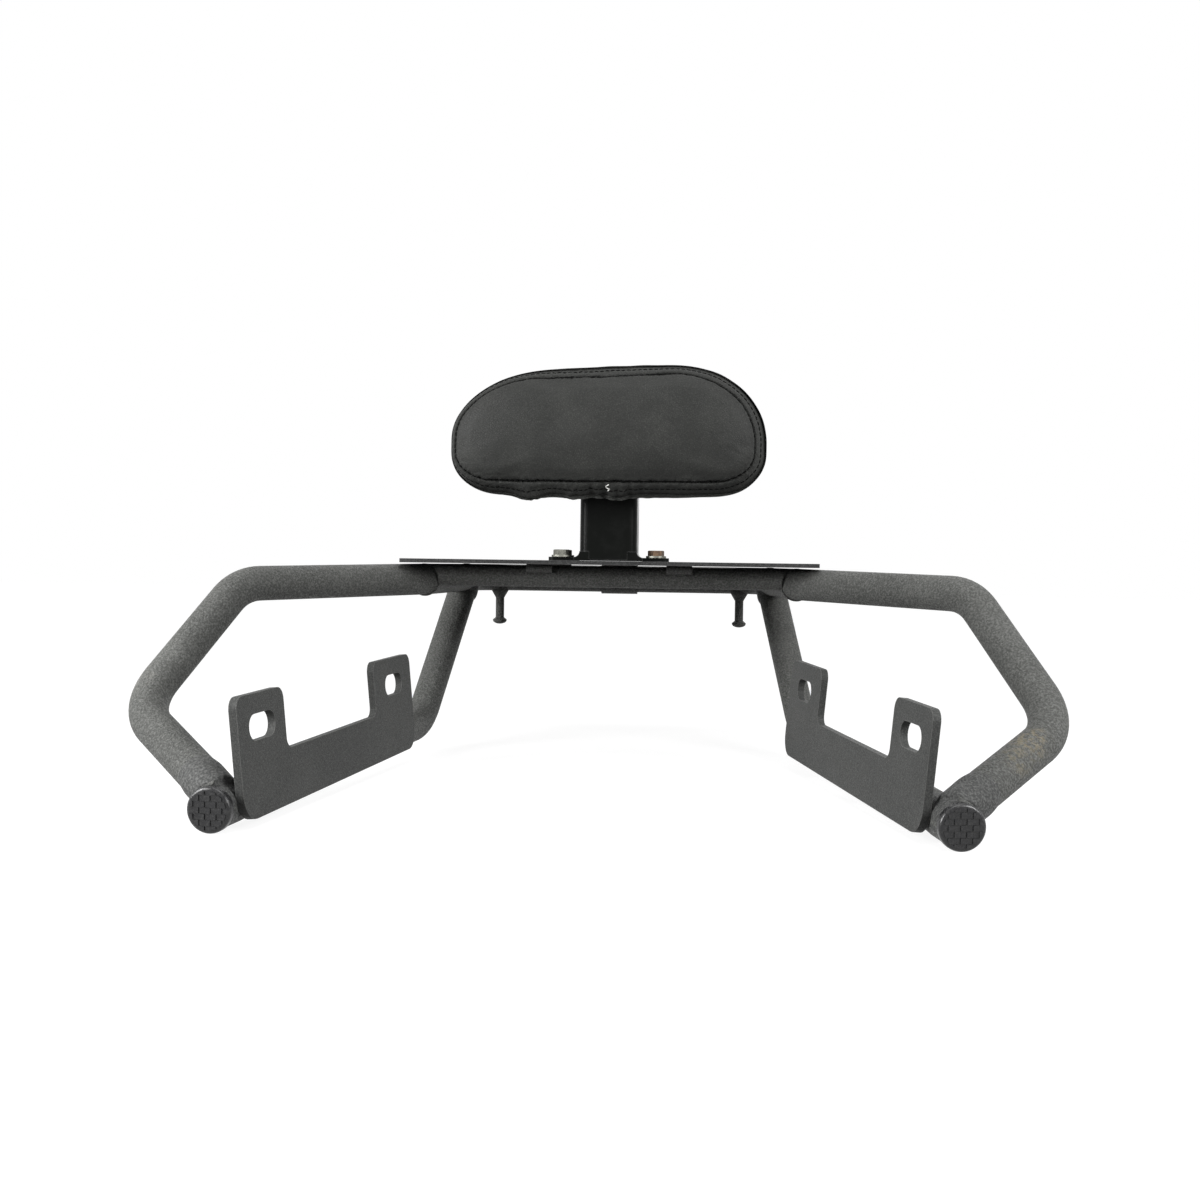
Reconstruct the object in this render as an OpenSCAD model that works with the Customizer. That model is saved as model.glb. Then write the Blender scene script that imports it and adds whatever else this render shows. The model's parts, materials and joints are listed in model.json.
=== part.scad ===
// Motorcycle sissy bar: a bent tube frame with a carrier plate, side brackets and a small backrest.
// Millimetres, +Z up, +Y towards the rear of the bike, origin under the middle on the surface it stands on.

/* [Tubes] */
// Outside diameter of the frame tubes
tube_d = 22; // [18:0.5:28]
// Wall of the frame tubes
tube_wall = 2; // [1.5:0.25:3]
// Bend radius of the frame tubes, to their middle line
bend_r = 40; // [34:1:46]
// Bend radius at the outermost point of a side loop
loop_bend_r = 42; // [34:1:50]
// Outside diameter of the cross tube under the plate's front
cross_d = 15; // [12:0.5:20]
// Length of the sleeve that joins the two halves at the rear
sleeve_len = 30; // [20:1:50]
// Wall of that sleeve
sleeve_wall = 1.5; // [1:0.25:3]

/* [Frame] */
// Height of the frame's top tubes above its lower tubes, at the front ends
frame_h = 116; // [100:1:140]
// How much higher the lower tubes are at their rear bend
lower_rise = 8; // [0:1:16]
// Half the distance between the frame tubes at the cross tube
rack_half_w = 131; // [110:1:150]
// Half the distance between the frame tubes at the legs
leg_half_w = 122; // [105:1:131]
// Distance from the cross tube back to the legs
leg_back = 140; // [110:1:160]
// Distance from the cross tube back to the frame's rear stretch
rear_back = 190; // [175:1:230]
// Half the distance between the lower tubes' rear bends
lower_rear_half_w = 142; // [130:1:160]
// Distance from the cross tube back to the lower tubes' rear bends
lower_rear_back = 46; // [30:1:60]
// Half the distance between the lower tubes' front ends
lower_front_half_w = 190; // [180:1:200]
// Distance from the cross tube forward to the lower tubes' front ends
lower_front_ahead = 280; // [260:1:300]

/* [Side loops] */
// Half the distance between the upper bends
loop_top_half_w = 225; // [210:1:240]
// Distance of the upper bends ahead of the cross tube
loop_top_ahead = 124; // [110:1:140]
// How far the upper bends lie below the rack tubes
loop_top_drop = 3; // [0:0.5:8]
// Half the distance between the outermost bends
loop_out_half_w = 260; // [245:1:280]
// Distance of the outermost bends ahead of the cross tube
loop_out_ahead = 201; // [185:1:215]
// How far the outermost bends lie below the rack tubes
loop_out_drop = 74; // [64:1:84]
// Distance from a lower tube's front end back to the side loop's joint
loop_foot_back = 8; // [6:1:24]
// How far the side loop's foot lies above the lower tube's middle line
loop_foot_rise = 5; // [0:0.5:6]

/* [Carrier plate] */
// Width of the carrier plate
plate_w = 289; // [270:1:310]
// Thickness of the carrier plate
plate_t = 2.8; // [2:0.1:5]
// How far the plate runs ahead of the cross tube
plate_ahead = 34; // [24:1:45]
// How far the plate stops short of the frame's rear stretch
plate_rear_short = 5; // [5:1:20]
// Gap that the welds leave between the tubes and the plate
plate_gap = 0.7; // [0.3:0.1:1.5]
// Corner radius at the plate's front
plate_front_r = 10; // [4:1:20]
// Corner radius at the plate's rear
plate_rear_r = 48; // [30:1:60]
// Length of a weld bead under the plate's front
bead_len = 18; // [12:1:24]
// Half the distance between the beads on the cross tube
bead_half_gap = 49; // [35:1:60]

/* [Brackets] */
// Thickness of the bracket plates
bracket_t = 4.5; // [3:0.5:6]
// Length of a bracket along its tube
bracket_len = 269; // [250:1:290]
// Height of the tabs above the tube's middle line
tab_h = 56; // [50:1:70]
// Height of the low edge between the tabs
notch_h = 21; // [17:1:28]
// How far a bracket reaches below the tube's middle line
bracket_below = 9.5; // [2:0.5:12]
// Length of the front tab
front_tab = 58; // [50:1:80]
// Length of the rear tab
rear_tab = 71; // [50:1:90]
// Distance from the left lower tube's front end back to its bracket
bracket_back_left = 5; // [1:0.5:16]
// Distance from the right lower tube's front end back to its bracket
bracket_back_right = 12; // [1:0.5:16]
// Angle at which the left bracket leaves its tube towards the rear
bracket_toe_left = 0; // [0:0.5:2]
// Angle at which the right bracket leaves its tube towards the rear
bracket_toe_right = 2; // [0:0.5:2]
// How far the tabs lean outwards, in degrees
bracket_lean = 5; // [0:0.5:8]
// Width of the bolt slots
slot_h = 14; // [10:0.5:16]
// Length of the bolt slots, end to end
slot_len = 32; // [17:0.5:36]
// Height of the slots above the tube's middle line
slot_up = 38; // [34:1:44]
// Distance from a bracket's front end to its front slot
front_slot = 29; // [22:1:36]
// Distance between the two slots of a bracket
slot_gap = 205; // [190:1:220]
// Length of a weld bead between a bracket and its tube
bracket_bead_len = 24; // [12:1:40]
// Radius of such a bead
bracket_bead_r = 5; // [3:0.5:8]

/* [End plugs] */
// Diameter of a plug's head
plug_d = 24.5; // [22:0.5:32]
// Thickness of a plug's head
plug_t = 5; // [3:0.5:8]
// Length of the plug inside the tube
plug_in = 14; // [8:1:20]
// Pitch of the checkered face
check_pitch = 3.2; // [2.4:0.1:4.5]
// Height of the raised squares
check_h = 0.6; // [0.3:0.1:1]

/* [Hook pins] */
// Diameter of the hook pins
pin_d = 7; // [5:0.5:9]
// Length of a pin below the tube
pin_len = 28; // [20:1:36]
// Diameter of a pin's head
pin_head_d = 11.5; // [9:0.5:14]
// Half the distance between the pins
pin_half_gap = 100; // [60:1:104]

/* [Backrest] */
// Width of the post
post_w = 39.5; // [34:0.5:46]
// Depth of the post from front to rear
post_depth = 46; // [40:1:52]
// Height of the post above the plate
post_h = 112; // [95:1:120]
// Thickness of the post's sheet
post_t = 2.5; // [2:0.1:3]
// Inside radius of the post's bends
post_bend_r = 4; // [3:0.5:6]
// Distance from the plate's front edge back to the post
post_back = 8; // [6:1:16]
// Width over the post's two feet
feet_w = 83.5; // [80:0.5:92]
// Width of the pad
pad_w = 206; // [180:1:240]
// Height of the pad
pad_h = 86; // [76:1:96]
// Thickness of the padding
pad_t = 36; // [28:1:44]
// Thickness of the board behind the padding
board_t = 6; // [4:0.5:9]
// How far the board stays inside the pad's outline
board_inset = 7; // [5:1:12]
// Height of the pad's lower edge above the plate
pad_up = 42; // [36:1:52]
// Width of the pad's upper corners
pad_top_corner_w = 67; // [40:1:80]
// Height of the pad's upper corners
pad_top_corner_h = 52; // [40:1:54]
// Width of the pad's lower corners
pad_low_corner_w = 32; // [20:1:40]
// Height of the pad's lower corners
pad_low_corner_h = 28; // [20:1:32]

/* [Fasteners] */
// Diameter of the bolts that hold the post
bolt_d = 6; // [5:0.5:8]
// Diameter of the screws that hold the pad
screw_d = 5; // [4:0.5:6]
// Distance between the pad screws
screw_gap = 36; // [28:1:40]
// Room all round a bolt in its hole
bolt_clear = 0.3; // [0.2:0.05:0.5]
// Room all round a part that slides into another
fit_clear = 0.1; // [0.05:0.05:0.2]

/* [Hidden] */
$fn = 48;

tube_r = tube_d / 2;
cut_over = 1;                                   // how far a cutter runs past what it cuts
collar_len = 0.6;                               // collars at the ends of the bends
collar_rise = 0.02;
weld_gap = 0.15;                                // room that a weld fills round a coped tube end
cross_drop = 0.4;                               // how much lower than the rack tubes the cross tube's top lies

// heights above the surface that the frame stands on
lower_slope = atan(lower_rise / (lower_front_ahead + lower_rear_back));
rim_r = plug_t / 2.5;                           // rounding of a plug's rim
lower_z = rim_r + (plug_d / 2 - rim_r) * cos(lower_slope) + (plug_t - rim_r) * sin(lower_slope);
rack_z = lower_z + frame_h;                     // middle of the rack tubes
plate_z = rack_z + tube_r + plate_gap;          // underside of the plate
plate_top = plate_z + plate_t;

// depths: the whole frame is centred on the origin
lower_splay = atan((lower_front_half_w - lower_rear_half_w) / (lower_front_ahead + lower_rear_back));
plug_ahead = (plug_t + check_h) * cos(lower_splay) + (plug_d / 2 - rim_r) * sin(lower_splay);
whole_depth = lower_front_ahead + plug_ahead + rear_back + tube_r + sleeve_wall;
cross_y = lower_front_ahead + plug_ahead - whole_depth / 2;
rear_y = cross_y + rear_back;
plate_front_y = cross_y - plate_ahead;
plate_rear_y = rear_y - plate_rear_short;
post_y = plate_front_y + post_back;             // front face of the post

// middle line of the right lower tube, from its front end to the rack tube above
lower_front = [lower_front_half_w, cross_y - lower_front_ahead, lower_z];
lower_rear = [lower_rear_half_w, cross_y + lower_rear_back, lower_z + lower_rise];
leg_top = [leg_half_w, cross_y + leg_back, rack_z];
lower_path = [lower_front, lower_rear, leg_top];
lower_bends = [0, bend_r, 0];

// middle lines of the right side loop and of the right rack rail, which meet in a mitre at the cross tube
foot_share = loop_foot_back / norm(lower_rear - lower_front);
loop_foot = lower_front + (lower_rear - lower_front) * foot_share + [0, 0, loop_foot_rise];
loop_out = [loop_out_half_w, cross_y - loop_out_ahead, rack_z - loop_out_drop];
loop_top = [loop_top_half_w, cross_y - loop_top_ahead, rack_z - loop_top_drop];
rack_front = [rack_half_w, cross_y, rack_z];
rack_rear = [rack_half_w - (rack_half_w - leg_half_w) * rear_back / leg_back, rear_y, rack_z];
mitre_over = 1.5 * tube_d;                      // how far a tube is left long before its mitre is cut
loop_path = [beyond(loop_out, loop_foot, tube_d), loop_out, loop_top, beyond(loop_top, rack_front, mitre_over)];
loop_bends = [0, loop_bend_r, bend_r, 0];
rail_path = [beyond(rack_rear, rack_front, mitre_over), rack_rear, [0, rear_y, rack_z]];
rail_bends = [0, bend_r, 0];
cross_z = rack_z + tube_r - cross_drop - cross_d / 2;
cross_left = [-rack_half_w, cross_y, cross_z];
cross_right = [rack_half_w, cross_y, cross_z];
mitre_dir = unit(unit(rack_front - loop_top) + unit(rack_rear - rack_front));

// direction of the right lower tube seen from above
lower_run = lower_rear - lower_front;
lower_heading = atan2(lower_run[1], lower_run[0]);
inboard = [-sin(lower_heading), cos(lower_heading), 0];

// fasteners
hex_flats = 1.667 * bolt_d;                     // across the flats of a bolt head
hex_h = 0.62 * bolt_d;
washer_d = 2.3 * bolt_d;
washer_t = 1.4;
foot_hole_x = (feet_w / 2 + post_w / 2 + post_bend_r) / 2;
bolt_front_y = post_y + 11;
bolt_rear_y = post_y + post_depth - 9;
screw_head_d = 1.9 * screw_d;
screw_head_h = 0.6 * screw_d;
screw_washer_d = 2.4 * screw_d;
screw_washer_t = 1.2;
screw_in = board_t - 1;                         // how deep a screw goes into the board
pad_mid_z = plate_top + pad_up + pad_h / 2;
pad_back_y = post_y - board_t;                  // where the padding meets its board

function unit(v) = v / norm(v);
// the point that lies a length past b, seen from a
function beyond(a, b, length) = b + unit(b - a) * length;
function turn(a, b) = acos(max(-1, min(1, unit(a) * unit(b))));
function run(p, i) = unit(p[i + 1] - p[i]);
// how far before and after a corner its bend begins
function setback(p, r, i) =
    i <= 0 || i >= len(p) - 1 ? 0 : r[i] * tan(turn(run(p, i - 1), run(p, i)) / 2);
// points of an outline whose corners are rounded, in the given order
function rounded(p, r, n = 8) = [
    for (i = [0 : len(p) - 1])
        let (
            before = unit(p[(i + len(p) - 1) % len(p)] - p[i]),
            after = unit(p[(i + 1) % len(p)] - p[i]),
            half = acos(before * after) / 2,
            middle = p[i] + unit(before + after) * r[i] / sin(half),
            start = p[i] + before * r[i] / tan(half) - middle,
            side = before[0] * after[1] - before[1] * after[0] > 0 ? -1 : 1
        )
        for (k = [0 : r[i] > 0 ? n : 0])
            let (a = side * (180 - 2 * half) * k / n)
            r[i] > 0
                ? middle + [start[0] * cos(a) - start[1] * sin(a), start[0] * sin(a) + start[1] * cos(a)]
                : p[i]
];

// round section of a bar, or of a tube where it has a wall
module section(d, wall) {
    difference() {
        circle(d = d);
        if (wall > 0) circle(d = d - 2 * wall);
    }
}

// turns the Z axis to a direction
module along(v) {
    rotate([0, acos(v[2]), atan2(v[1], v[0])]) children();
}

// a straight stretch from one point to another
module bar(a, b, d, wall = 0) {
    translate(a) along(unit(b - a)) linear_extrude(norm(b - a)) section(d, wall);
}

// a collar, a few hundredths proud, that makes one solid of a straight stretch and its bend
module collar(at, v, d, wall) {
    translate(at) along(v) translate([0, 0, -collar_len / 2])
        linear_extrude(collar_len) section(d + 2 * collar_rise, wall > 0 ? wall + 2 * collar_rise : 0);
}

// the bend at corner i of a path
module bend(p, r, i, d, wall = 0) {
    d1 = run(p, i - 1);
    d2 = run(p, i);
    inward = unit(d2 - d1 * (d1 * d2));
    axis = cross(d1, inward);
    tilt = acos(axis[2]);
    spin = atan2(axis[1], axis[0]);
    u = [cos(tilt) * cos(spin), cos(tilt) * sin(spin), -sin(tilt)];
    v = [-sin(spin), cos(spin), 0];
    start = atan2(-inward * v, -inward * u);
    middle = p[i] - d1 * setback(p, r, i) + inward * r[i];
    translate(middle) rotate([0, tilt, spin]) rotate([0, 0, start])
        rotate_extrude(angle = turn(d1, d2)) translate([r[i], 0]) section(d, wall);
}

// stretch i of a path, less what its bends take
module stretch(p, r, i, d, wall) {
    bar(p[i] + run(p, i) * setback(p, r, i), p[i + 1] - run(p, i) * setback(p, r, i + 1), d, wall);
}

// a bar or tube along a path with bends, made stretch by stretch up to stretch i
module bent_bar(p, r, d, wall = 0, i = -1) {
    last = i < 0 ? len(p) - 2 : i;
    if (last == 0) {
        stretch(p, r, 0, d, wall);
    } else {
        union() {
            union() {
                bent_bar(p, r, d, wall, last - 1);
                collar(p[last] - run(p, last - 1) * setback(p, r, last), run(p, last - 1), d, wall);
            }
            bend(p, r, last, d, wall);
        }
        union() {
            collar(p[last] + run(p, last) * setback(p, r, last), run(p, last), d, wall);
            stretch(p, r, last, d, wall);
        }
    }
}

// everything past the plane through a point, on the side that a direction points to
module past(at, dir) {
    reach = 4 * tube_d;
    translate(at) along(dir) translate([-reach / 2, -reach / 2, 0]) cube(reach);
}

// one side loop: its foot is coped over the lower tube and its top end is mitred
module loop_bar(wall = 0) {
    difference() {
        bent_bar(loop_path, loop_bends, tube_d, wall);
        past(rack_front, mitre_dir);
    }
}
module side_loop() {
    color([0.20, 0.20, 0.21])
    difference() {
        loop_bar(tube_wall);
        bar(lower_front - run(lower_path, 0) * tube_d, lower_rear, tube_d + 2 * weld_gap);
        past(lower_front, inboard);
        past(lower_front, -run(lower_path, 0));
    }
}
module side_loop_right() side_loop();
module side_loop_left() mirror([1, 0, 0]) side_loop();

// one rack rail: from the mitre back and round to the middle of the rear stretch
module rail_bar(wall = 0) {
    difference() {
        bent_bar(rail_path, rail_bends, tube_d, wall);
        past(rack_front, -mitre_dir);
    }
}
module rack_rail() color([0.20, 0.20, 0.21]) rail_bar(tube_wall);
module rack_rail_right() rack_rail();
module rack_rail_left() mirror([1, 0, 0]) rack_rail();

// one lower tube with its leg, coped under the rack rail
module lower_tube() {
    color([0.20, 0.20, 0.21])
    difference() {
        bent_bar(lower_path, lower_bends, tube_d, tube_wall);
        bar(rack_front, rack_rear, tube_d + 2 * weld_gap);
    }
}
module lower_tube_right() lower_tube();
module lower_tube_left() mirror([1, 0, 0]) lower_tube();

// the cross tube between the two mitres, coped at both ends to fit the rack rails
module cross_tube() {
    color([0.20, 0.20, 0.21])
    difference() {
        bar(cross_left, cross_right, cross_d, tube_wall);
        for (side = [0, 1]) mirror([side, 0, 0])
            bar(beyond(rack_rear, rack_front, cross_d), rack_rear, tube_d + 2 * weld_gap);
    }
}

// the sleeve over the butt joint in the middle of the rear stretch
module rear_sleeve() {
    color([0.20, 0.20, 0.21])
    translate([-sleeve_len / 2, rear_y, rack_z]) rotate([0, 90, 0])
        difference() {
            cylinder(d = tube_d + 2 * sleeve_wall, h = sleeve_len);
            translate([0, 0, -cut_over]) cylinder(d = tube_d, h = sleeve_len + 2 * cut_over);
        }
}

module plate_outline() {
    w = plate_w / 2;
    polygon(rounded(
        [[-w, plate_front_y], [w, plate_front_y], [w, plate_rear_y], [-w, plate_rear_y]],
        [plate_front_r, plate_front_r, plate_rear_r, plate_rear_r], 12));
}

module carrier_plate() {
    color([0.22, 0.22, 0.23])
    difference() {
        translate([0, 0, plate_z]) linear_extrude(plate_t) plate_outline();
        for (x = [-foot_hole_x, foot_hole_x], y = [bolt_front_y, bolt_rear_y])
            translate([x, y, plate_z - cut_over])
                cylinder(d = bolt_d + fit_clear, h = plate_t + 2 * cut_over);
    }
}

// weld beads between the plate and the tubes: two at the front of the cross tube, two at the rear stretch
module plate_welds() {
    bead_d = 6;
    front_y = cross_y - cross_d / 2;
    color([0.26, 0.26, 0.27])
    difference() {
        union() {
            for (x = [-bead_half_gap, bead_half_gap])
                bar([x - bead_len / 2, front_y, plate_z - bead_d / 2],
                    [x + bead_len / 2, front_y, plate_z - bead_d / 2], bead_d);
            for (x = [-bead_half_gap, bead_half_gap])
                bar([x - bead_len / 2, rear_y - tube_r, plate_z - bead_d / 2],
                    [x + bead_len / 2, rear_y - tube_r, plate_z - bead_d / 2], bead_d);
        }
        bar(cross_left, cross_right, cross_d);
        bar([-rack_half_w, rear_y, rack_z], [rack_half_w, rear_y, rack_z], tube_d);
    }
}

// outline of a bracket: along the tube, and above its middle line
module bracket_outline() {
    far = bracket_len;
    polygon(rounded(
        [[0, -bracket_below], [far, -bracket_below], [far, tab_h],
         [far - rear_tab, tab_h], [far - rear_tab, notch_h],
         [front_tab, notch_h], [front_tab, tab_h], [0, tab_h]],
        [14, 14, 7, 7, 6, 6, 7, 7]));
}

module slot(x) {
    reach = (slot_len - slot_h) / 2;
    for (s = [-reach, reach]) translate([x + s, slot_up]) circle(d = slot_h);
    translate([x - reach, slot_up - slot_h / 2]) square([2 * reach, slot_h]);
}

// the right lower tube's own frame at its front end: X runs back along it, Y inboard
module tube_frame(toe = 0) {
    translate(lower_front) rotate([0, 0, lower_heading + toe]) rotate([0, -lower_slope, 0]) children();
}

// the frame of a bracket, whose face touches the tube at the front end and leans outwards
module bracket_frame(back, toe) {
    tube_frame(toe) rotate([bracket_lean, 0, 0]) translate([back, tube_r, 0]) children();
}

module bracket(back, toe) {
    color([0.22, 0.22, 0.23])
    bracket_frame(back, toe) rotate([90, 0, 0]) mirror([0, 0, 1]) linear_extrude(bracket_t)
        difference() {
            bracket_outline();
            slot(front_slot);
            slot(front_slot + slot_gap);
        }
}
module bracket_right() bracket(bracket_back_right, bracket_toe_right);
module bracket_left() mirror([1, 0, 0]) bracket(bracket_back_left, bracket_toe_left);

// one weld bead at x along the tube, between it and a bracket that stands gap away from it
module bracket_bead(x, gap) {
    bead_r = bracket_bead_r + gap / 2;
    translate([x - bracket_bead_len / 2, 0, 0]) rotate([90, 0, 90]) linear_extrude(bracket_bead_len)
        difference() {
            translate([tube_r + gap - bead_r / 2, tube_r / 2]) circle(r = bead_r);
            circle(r = tube_r + weld_gap);
        }
}

// the beads of a bracket, thicker where its toe leaves a wider gap
module bracket_welds(back, toe) {
    color([0.24, 0.24, 0.25])
    difference() {
        tube_frame()
            for (x = [front_tab / 2, bracket_len / 2, bracket_len - rear_tab / 2])
                bracket_bead(back + x, (back + x) * tan(toe));
        bracket_frame(back, toe)
            translate([-cut_over, 0, -2 * tube_d]) cube([bracket_len + 2 * cut_over, tube_d, 4 * tube_d]);
    }
}
module bracket_welds_right() bracket_welds(bracket_back_right, bracket_toe_right);
module bracket_welds_left() mirror([1, 0, 0]) bracket_welds(bracket_back_left, bracket_toe_left);

// a plug in the open front end of a lower tube, with a checkered face
module end_plug() {
    v = unit(lower_run);
    across = floor(plug_d / check_pitch / 2);
    color([0.10, 0.10, 0.10])
    translate(lower_front) along(v) {
        cylinder(d = tube_d - 2 * tube_wall - 2 * fit_clear, h = plug_in);
        translate([0, 0, -plug_t]) rotate_extrude()
            polygon(rounded([[0, 0], [plug_d / 2, 0], [plug_d / 2, plug_t], [0, plug_t]], [0, rim_r, 0.5, 0]));
        intersection() {
            translate([0, 0, -plug_t - check_h]) cylinder(d = plug_d - 2 * rim_r, h = check_h + 0.2);
            for (i = [-across : across], j = [-across : across])
                if ((i + j) % 2 == 0)
                    translate([i * check_pitch, j * check_pitch, -plug_t])
                        cube([check_pitch * 0.9, check_pitch * 0.9, 2 * check_h], center = true);
        }
    }
}
module end_plug_right() end_plug();
module end_plug_left() mirror([1, 0, 0]) end_plug();

// a hook pin welded under the rear bend, with a flared root and a domed head
module hook_pin() {
    head_h = 5;
    flare_h = 6;
    pin_y = pin_half_gap > rack_rear[0] - bend_r
        ? rear_y - bend_r + sqrt(bend_r * bend_r - pow(pin_half_gap - rack_rear[0] + bend_r, 2))
        : rear_y;
    color([0.20, 0.20, 0.21])
    difference() {
        translate([pin_half_gap, pin_y, rack_z - tube_r - pin_len]) rotate_extrude()
            polygon(concat(
                [[0, 0]],
                [for (a = [10 : 10 : 90]) [pin_head_d / 2 * sin(a), head_h * 0.6 * (1 - cos(a))]],
                [[pin_head_d / 2, head_h * 0.75], [pin_d / 2 + 0.6, head_h], [pin_d / 2, head_h + 0.6],
                 [pin_d / 2, pin_len - flare_h], [pin_d, pin_len], [pin_d, pin_len + tube_r / 2],
                 [0, pin_len + tube_r / 2]]));
        bent_bar(rail_path, rail_bends, tube_d + 2 * fit_clear);
    }
}
module hook_pin_right() hook_pin();
module hook_pin_left() mirror([1, 0, 0]) hook_pin();

// the post: a folded channel, open at the rear, with two feet that curl outwards
module backrest_post() {
    w = post_w / 2;
    curl = post_bend_r + post_t;
    color([0.12, 0.12, 0.12])
    difference() {
        union() {
            // channel above the feet
            translate([0, 0, plate_top + curl]) linear_extrude(post_h - curl)
                polygon(rounded(
                    [[-w, post_y], [w, post_y], [w, post_y + post_depth], [w - post_t, post_y + post_depth],
                     [w - post_t, post_y + post_t], [-w + post_t, post_y + post_t],
                     [-w + post_t, post_y + post_depth], [-w, post_y + post_depth]],
                    [curl, curl, 0, 0, post_bend_r, post_bend_r, 0, 0]));
            // front wall down to the plate
            translate([-w + curl, post_y, plate_top + 1]) cube([post_w - 2 * curl, post_t, curl]);
            for (side = [0, 1]) mirror([side, 0, 0]) {
                // curl from the wall to the foot
                translate([w + post_bend_r, post_y + post_depth, plate_top + curl]) rotate([90, 0, 0])
                    linear_extrude(post_depth - curl) intersection() {
                        difference() {
                            circle(r = curl);
                            circle(r = post_bend_r);
                        }
                        translate([-curl, -curl]) square(curl);
                    }
                // foot on the plate
                translate([0, 0, plate_top]) linear_extrude(post_t)
                    polygon(rounded(
                        [[w + post_bend_r, post_y + curl], [feet_w / 2, post_y + curl],
                         [feet_w / 2, post_y + post_depth], [w + post_bend_r, post_y + post_depth]],
                        [0, 4, 4, 0]));
            }
        }
        for (x = [-foot_hole_x, foot_hole_x], y = [bolt_front_y, bolt_rear_y])
            translate([x, y, plate_top - cut_over]) cylinder(d = bolt_d + 2 * bolt_clear, h = post_t + 2 * cut_over);
        for (s = [-1, 1])
            translate([0, post_y - cut_over, pad_mid_z + s * screw_gap / 2]) rotate([-90, 0, 0])
                cylinder(d = screw_d + 2 * bolt_clear, h = post_t + 2 * cut_over);
    }
}

module post_washer(x, y) {
    color([0.55, 0.55, 0.52])
    translate([x, y, plate_top + post_t]) difference() {
        cylinder(d = washer_d, h = washer_t);
        translate([0, 0, -cut_over]) cylinder(d = bolt_d + 2 * bolt_clear, h = washer_t + 2 * cut_over);
    }
}
module post_washer_front_right() post_washer(foot_hole_x, bolt_front_y);
module post_washer_front_left() post_washer(-foot_hole_x, bolt_front_y);
module post_washer_rear_right() post_washer(foot_hole_x, bolt_rear_y);
module post_washer_rear_left() post_washer(-foot_hole_x, bolt_rear_y);

// a hexagon bolt that ends flush with the plate's underside; its angle is how it was left when tightened
module post_bolt(x, y, angle) {
    color([0.62, 0.60, 0.52])
    translate([x, y, plate_z]) {
        cylinder(d = bolt_d, h = plate_t + post_t + washer_t);
        translate([0, 0, plate_t + post_t + washer_t]) rotate([0, 0, angle]) intersection() {
            cylinder(d = hex_flats / cos(30), h = hex_h, $fn = 6);
            cylinder(d1 = 2.2 * hex_flats, d2 = 1.02 * hex_flats, h = hex_h);
        }
    }
}
module post_bolt_front_right() post_bolt(foot_hole_x, bolt_front_y, 12);
module post_bolt_front_left() post_bolt(-foot_hole_x, bolt_front_y, 4);
module post_bolt_rear_right() post_bolt(foot_hole_x, bolt_rear_y, 21);
module post_bolt_rear_left() post_bolt(-foot_hole_x, bolt_rear_y, 40);

// a quarter of an ellipse that ends at the side of the pad, from its top (1) or its foot (-1)
function pad_corner(side, up, corner_w, corner_h, inset) =
    [for (a = [0 : 9 : 90])
        [side * (pad_w / 2 - corner_w + (corner_w - inset) * sin(a)),
         up * (pad_h / 2 - corner_h + (corner_h - inset) * cos(a))]];
function reversed(p) = [for (i = [len(p) - 1 : -1 : 0]) p[i]];
// outline of the pad, seen from the front: broad arched top corners and tighter lower ones
function pad_outline(inset) = concat(
    pad_corner(1, 1, pad_top_corner_w, pad_top_corner_h, inset),
    reversed(pad_corner(1, -1, pad_low_corner_w, pad_low_corner_h, inset)),
    pad_corner(-1, -1, pad_low_corner_w, pad_low_corner_h, inset),
    reversed(pad_corner(-1, 1, pad_top_corner_w, pad_top_corner_h, inset)));

module pad_board() {
    color([0.14, 0.13, 0.12])
    difference() {
        translate([0, post_y, pad_mid_z]) rotate([90, 0, 0]) linear_extrude(board_t)
            polygon(pad_outline(board_inset));
        for (s = [-1, 1])
            translate([0, post_y - screw_in, pad_mid_z + s * screw_gap / 2]) rotate([-90, 0, 0])
                cylinder(d = screw_d + fit_clear, h = board_t + cut_over);
    }
}

module pad_cushion() {
    color([0.09, 0.09, 0.09])
    translate([0, pad_back_y, pad_mid_z]) rotate([90, 0, 0]) linear_extrude(pad_t) polygon(pad_outline(0));
}

module pad_washer(s) {
    color([0.55, 0.55, 0.52])
    translate([0, post_y + post_t, pad_mid_z + s * screw_gap / 2]) rotate([-90, 0, 0]) difference() {
        cylinder(d = screw_washer_d, h = screw_washer_t);
        translate([0, 0, -cut_over]) cylinder(d = screw_d + 2 * bolt_clear, h = screw_washer_t + 2 * cut_over);
    }
}
module pad_washer_upper() pad_washer(1);
module pad_washer_lower() pad_washer(-1);

// a pan head screw with a cross recess, driven from inside the channel into the board
module pad_screw(s) {
    color([0.62, 0.60, 0.52])
    translate([0, post_y - screw_in, pad_mid_z + s * screw_gap / 2]) rotate([-90, 0, 0]) {
        grip = screw_in + post_t + screw_washer_t;
        cylinder(d = screw_d, h = grip);
        translate([0, 0, grip]) difference() {
            cylinder(d1 = screw_head_d, d2 = screw_head_d * 0.8, h = screw_head_h);
            for (a = [0, 90]) rotate([0, 0, a])
                translate([0, 0, screw_head_h]) cube([screw_head_d * 0.5, 1, screw_head_h], center = true);
        }
    }
}
module pad_screw_upper() pad_screw(1);
module pad_screw_lower() pad_screw(-1);

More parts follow.
